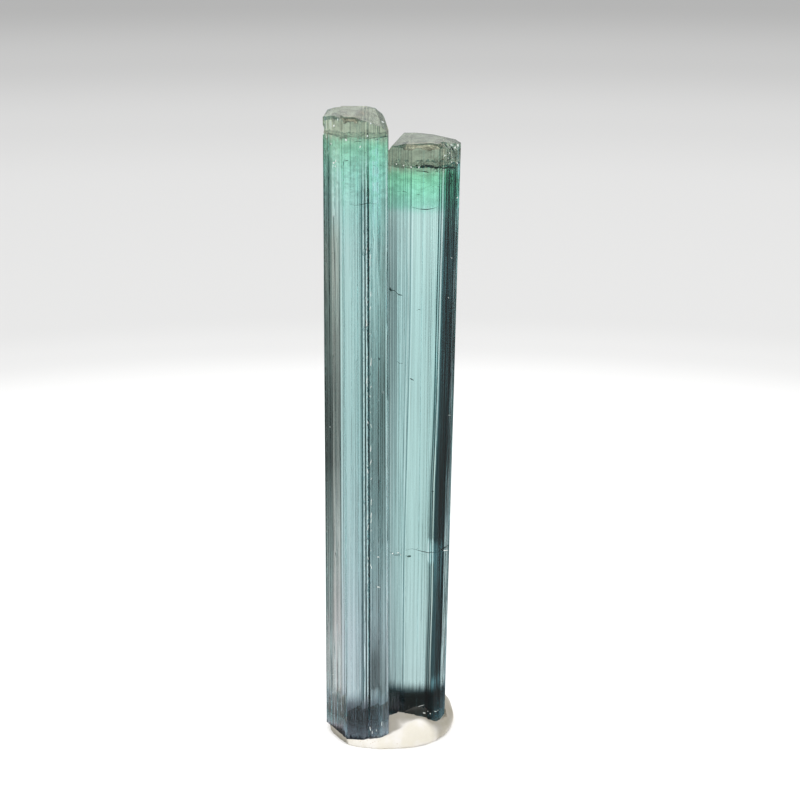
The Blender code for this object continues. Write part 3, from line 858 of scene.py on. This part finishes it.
def addFlakes(bm, surface, rng):
    line = flakes["line"]
    for _ in range(flakes["count"]):
        x = rng.uniform(line[0][0], line[-1][0])
        start, end = next(pair for pair in zip(line, line[1:]) if x <= pair[1][0])
        z = start[1] + (end[1] - start[1]) * (x - start[0]) / (end[0] - start[0])
        place = frontPoint(surface, x, z + rng.gauss(0.0, flakes["spread"]), rng.uniform(*flakes["deep"]))
        radius = rng.uniform(*flakes["radius"]) * mm
        made = bmesh.ops.create_cone(
            bm, cap_ends=True, segments=6, radius1=radius, radius2=radius * 0.8, depth=0.012 * mm)["verts"]
        bmesh.ops.scale(bm, vec=(1.0, rng.uniform(0.4, 0.9), 1.0), verts=made)
        for axis, most in (("Z", math.pi), ("X", flakes["tilt"]), ("Y", flakes["tilt"])):
            bmesh.ops.rotate(bm, matrix=Matrix.Rotation(rng.uniform(-most, most), 3, axis), verts=made)
        bmesh.ops.translate(bm, vec=place, verts=made)


def buildCracks(surface):
    rng = random.Random(31)
    bm = bmesh.new()
    for thick, under, line in cracks.values():
        addSliver(bm, surface, line, thick, under, rng)
    addFlakes(bm, surface, rng)
    bmesh.ops.recalc_face_normals(bm, faces=bm.faces)
    return meshObject(bm, "darkCracks", mottledMaterial("darkCrack", **crackFinish))


# Sparkles: tiny pale splinters standing a little proud where an edge or a crack is bruised, their paleness
# partly bruise and partly painted glints
sparkles = {
    "single": (  # x and z in mm, width and height in mm
        (-4.62, 55.14, 0.14, 0.22), (-4.27, 55.78, 0.1, 0.26), (-3.59, 54.23, 0.13, 0.2),
        (-1.81, 54.56, 0.16, 0.16), (-1.55, 55.58, 0.14, 0.16), (-2.43, 53.67, 0.1, 0.22),
        (-4.65, 52.03, 0.26, 0.22), (-4.5, 51.8, 0.16, 0.12), (-4.9, 53.55, 0.1, 0.14),
        (-5.55, 54.2, 0.18, 0.16), (-5.3, 54.0, 0.12, 0.12), (-0.62, 55.4, 0.45, 0.13),
        (-0.3, 55.05, 0.16, 0.38), (-0.18, 54.65, 0.09, 0.3), (5.5, 53.05, 0.12, 0.32),
        (5.2, 53.42, 0.32, 0.1), (5.02, 52.8, 0.1, 0.24), (4.86, 52.42, 0.2, 0.07), (0.56, 51.9, 0.1, 0.1),
        (1.16, 51.85, 0.1, 0.12), (1.8, 51.75, 0.08, 0.2), (2.45, 51.75, 0.1, 0.24), (5.2, 52.0, 0.14, 0.14),
        (5.7, 51.75, 0.1, 0.14), (5.72, 48.8, 0.1, 0.14), (5.75, 53.2, 0.16, 0.34), (5.3, 52.25, 0.08, 0.1),
        (4.6, 52.7, 0.12, 0.16), (-5.21, 28.76, 0.08, 0.08), (-1.05, 17.72, 0.3, 0.07),
        (-1.1, 14.95, 0.5, 0.09), (0.25, 17.2, 0.34, 0.11), (0.75, 17.45, 0.28, 0.1),
        (0.95, 17.28, 0.13, 0.12), (4.75, 17.28, 0.95, 0.08), (2.8, 3.05, 0.75, 0.035),
        (3.06, 2.34, 0.34, 0.1), (3.36, 2.44, 0.09, 0.06), (3.58, 2.2, 0.12, 0.13), (3.98, 2.27, 0.42, 0.06),
        (4.28, 2.14, 0.11, 0.06), (-1.78, 1.6, 0.06, 0.5), (-1.6, 1.25, 0.05, 0.36), (-1.24, 1.4, 0.05, 0.3),
        (-0.75, 1.95, 0.07, 0.55), (-5.12, 5.75, 0.09, 0.12), (-4.48, 52.25, 0.12, 0.26),
        (-4.72, 51.75, 0.14, 0.12), (5.22, 43.72, 0.3, 0.04), (5.1, 29.7, 0.5, 0.035),
        (5.0, 40.3, 0.06, 0.12)),
    "ridge": {  # mm: two rows of pale splinters up the beaded ridge, painted glints along its beads
        "x": (-1.64, -1.93), "stray": 0.05, "from": 17.0, "to": 45.5, "step": (0.3, 2.8),
        "wide": (0.03, 0.07), "high": (0.1, 0.95)},
    "deep": 0.05,  # mm
    "uneven": (0.7, 1.2),
    "turn": 0.35,  # radians
}
# pale splinter colour: partly bruise, partly painted glints
sparkleFinish = {
    "scale": 4000.0, "tones": ((0.3, (0.62, 0.74, 0.68)), (0.6, (0.93, 0.96, 0.94))), "roughness": 0.4,
}


def addSplinter(bm, place, wide, high, rng):
    made = bmesh.ops.create_icosphere(bm, subdivisions=1, radius=0.5)["verts"]
    for vert in made:
        vert.co = vert.co * rng.uniform(*sparkles["uneven"])
    bmesh.ops.scale(bm, vec=(wide * mm, sparkles["deep"] * mm, high * mm), verts=made)
    turn = rng.uniform(-sparkles["turn"], sparkles["turn"])
    bmesh.ops.rotate(bm, matrix=Matrix.Rotation(turn, 3, "Y"), verts=made)
    bmesh.ops.translate(bm, vec=place, verts=made)


def buildSparkles(surface):
    rng = random.Random(57)
    bm = bmesh.new()
    for x, z, wide, high in sparkles["single"]:
        place = frontPoint(surface, x, z, 0.0)
        if place is not None:
            addSplinter(bm, place, wide, high, rng)
    ridge = sparkles["ridge"]
    for x in ridge["x"]:
        z = ridge["from"]
        while z < ridge["to"]:
            place = frontPoint(surface, x + rng.uniform(-1, 1) * ridge["stray"], z, 0.0)
            addSplinter(bm, place, rng.uniform(*ridge["wide"]), rng.uniform(*ridge["high"]), rng)
            z += rng.uniform(*ridge["step"])
    return meshObject(bm, "paleSparkles", mottledMaterial("paleBruiseAndGlint", **sparkleFinish))


# Putty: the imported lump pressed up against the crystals' feet, with finger lumps
puttyForm = {
    "voxel": 0.11 * mm,
    "gap": 0.3,  # mm that the solids keep between putty and crystals
    "touch": 0.012,
    "reach": 1.0,
    "floor": 0.05,  # mm, below which nothing moves
    "ledge": (2.5, 1.0, 0.3),  # mm: x, half width and height of the roll in front of the right foot
    "free": (0.35, 1.2),  # mm off the crystals where the lumps begin, and over which they grow
}
lumpValues = {
    "Lump Size": 1.25,  # mm
    "Lump Depth": 0.15,
    "Grain Size": 0.35,
    "Grain Depth": 0.03,
    "Seed": 3.0,
}


def pressedPutty(surface):
    solid = linkMesh(frame["nodes"]["putty_base"].data.copy(), "puttySolid")
    remesh = solid.modifiers.new("even", "REMESH")
    remesh.mode = "VOXEL"
    remesh.voxel_size = puttyForm["voxel"]
    mesh = bpy.data.meshes.new_from_object(solid.evaluated_get(bpy.context.evaluated_depsgraph_get()))
    bpy.data.objects.remove(solid)
    gap, touch, reach = (puttyForm[key] * mm for key in ("gap", "touch", "reach"))
    freedom = mesh.attributes.new("freedom", "FLOAT", "POINT")
    ledgeX, ledgeHalf, ledgeHigh = puttyForm["ledge"]
    freeFrom, freeOver = puttyForm["free"]
    for index, vert in enumerate(mesh.vertices):
        across = (vert.co.x / mm - ledgeX) / ledgeHalf
        if vert.co.y < 0:
            vert.co.z += ledgeHigh * mm * math.exp(-across**2) * min(vert.co.z / mm, 1.0)
        near, normal, face, distance = surface.find_nearest(vert.co)
        freedom.data[index].value = min(max((distance / mm - freeFrom) / freeOver, 0.0), 1.0)
        if distance >= reach or vert.co.z < puttyForm["floor"] * mm:
            continue
        closer = touch + max(distance - gap, 0.0) * (reach - touch) / (reach - gap)
        vert.co = near + (vert.co - near) * (closer / distance)
    mesh.shade_smooth()
    return linkMesh(mesh, "puttyPressed")


def lumpTree(material):
    tree, given = newTree("fingerLumps", lumpValues)
    position = tree.nodes.new("GeometryNodeInputPosition").outputs[0]
    normal = tree.nodes.new("GeometryNodeInputNormal").outputs[0]
    freedom = addNode(tree, "GeometryNodeInputNamedAttribute", {"Name": "freedom"}, data_type="FLOAT")
    inMm = scaled(tree, position, 1000.0)
    depths = []
    for key in ("Lump", "Grain"):
        place = scaled(tree, inMm, maths(tree, "DIVIDE", 1.0, given[key + " Size"]))
        wave = maths(tree, "SUBTRACT", noise(tree, place, detail=1.0, seed=given["Seed"]), 0.5)
        depths.append(product(tree, wave, given[key + " Depth"]))
    depth = product(tree, maths(tree, "ADD", *depths), freedom.outputs[0], 2 * mm)
    axes = split(tree, vectorMaths(tree, "ADD", position, scaled(tree, normal, depth)))
    settled = combine(tree, axes["X"], axes["Y"], maths(tree, "MAXIMUM", axes["Z"], 0.0))
    moved = addNode(tree, "GeometryNodeSetPosition", {"Geometry": given["Geometry"], "Position": settled})
    return endTree(tree, moved.outputs[0], material)


puttyFinish = {
    "pale": (0.86, 0.83, 0.78),
    "warm": (0.8, 0.76, 0.66),
    "speck": (0.45, 0.31, 0.22),
    "roughness": 0.75,
    "toneScale": 0.7,
    "tones": (0.35, 0.65),  # noise from pale to warm
    "speckCells": 5.0,
    "speckEdge": (0.3, 0.14),
    "patchScale": 1.3,
    "patches": (0.45, 0.6),
    "speckShare": 0.75,
    "specksIn": ((-4.2, -3.7), (1.1, 0.6), (0.7, 0.5)),  # mm: left end, right end and top, fading in
    "shade": (0.42, 0.41, 0.38),  # painted shade in the hollow behind the front lump, close to the crystals, where their shadow would fall
    "shadeFrom": (-3.1, -2.6),  # mm, y
    "shadeFree": (1.0, 0.3),
}


def puttyMaterial():
    finish = puttyFinish
    material, tree, shader = newMaterial("whitePutty")
    inMm = scaled(tree, addNode(tree, "ShaderNodeTexCoord").outputs["Object"], 1000.0)
    tone = between(tree, noise(tree, inMm, scale=finish["toneScale"], detail=3.0), *finish["tones"])
    body = mixColour(tree, tone, finish["pale"], finish["warm"])
    cells = addNode(tree, "ShaderNodeTexVoronoi", {"Vector": inMm, "Scale": finish["speckCells"]})
    speck = between(tree, cells.outputs["Distance"], *finish["speckEdge"])
    axes = split(tree, inMm)
    ends = [between(tree, axes[axis], *fade) for axis, fade in zip("XXZ", finish["specksIn"])]
    patchy = between(tree, noise(tree, inMm, scale=finish["patchScale"], detail=1.0), *finish["patches"])
    share = product(tree, speck, patchy, *ends, finish["speckShare"])
    body = mixColour(tree, share, body, finish["speck"])
    freedom = addNode(tree, "ShaderNodeAttribute", attribute_name="freedom").outputs["Fac"]
    hollow = between(tree, axes["Y"], *finish["shadeFrom"])
    close = product(tree, between(tree, freedom, *finish["shadeFree"]), hollow)
    # painted shade darkens the putty close to the crystals in the hollow behind the front lump
    tree.links.new(multiplied(tree, close, body, finish["shade"]), shader.inputs["Base Color"])
    shader.inputs["Roughness"].default_value = finish["roughness"]
    return material


placeCamera()
buildWorld()
buildFloor()
addSoftBoxes()
scene = bpy.context.scene
scene.view_settings.view_transform = "Standard"
scene.cycles.max_bounces = 24
scene.cycles.transmission_bounces = 24
scene.cycles.glossy_bounces = 16
scene.cycles.use_denoising = True
print("studio ready")

solidCrystals = bmesh.new()
solidCrystals.from_mesh(frame["nodes"]["crystal_pair"].data)
surface = BVHTree.FromBMesh(solidCrystals)
solidCrystals.free()
crystals = runTree(slicedCrystals(), growthTree(crystalMaterial()), {}, "crystals")
shadeAlongLines(crystals.data)
print("crystals:", len(crystals.data.polygons), "faces")
fractureVeils = buildVeils(frame["nodes"]["crystal_pair"].data, surface)
print("veils:", len(fractureVeils.data.polygons), "faces")
darkCracks = buildCracks(surface)
paleSparkles = buildSparkles(surface)
print("cracks and sparkles:", len(darkCracks.data.polygons) + len(paleSparkles.data.polygons), "faces")
putty = runTree(pressedPutty(surface), lumpTree(puttyMaterial()), {}, "putty")
print("putty:", len(putty.data.polygons), "faces")

for piece in (crystals, fractureVeils, darkCracks, paleSparkles):
    piece.visible_shadow = False  # clear crystal on a white sweep: the photo shows no shadow of it
    piece.visible_diffuse = False
    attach(piece, "root")
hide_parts("crystal_pair")
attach(putty, "root")
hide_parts("putty_base")
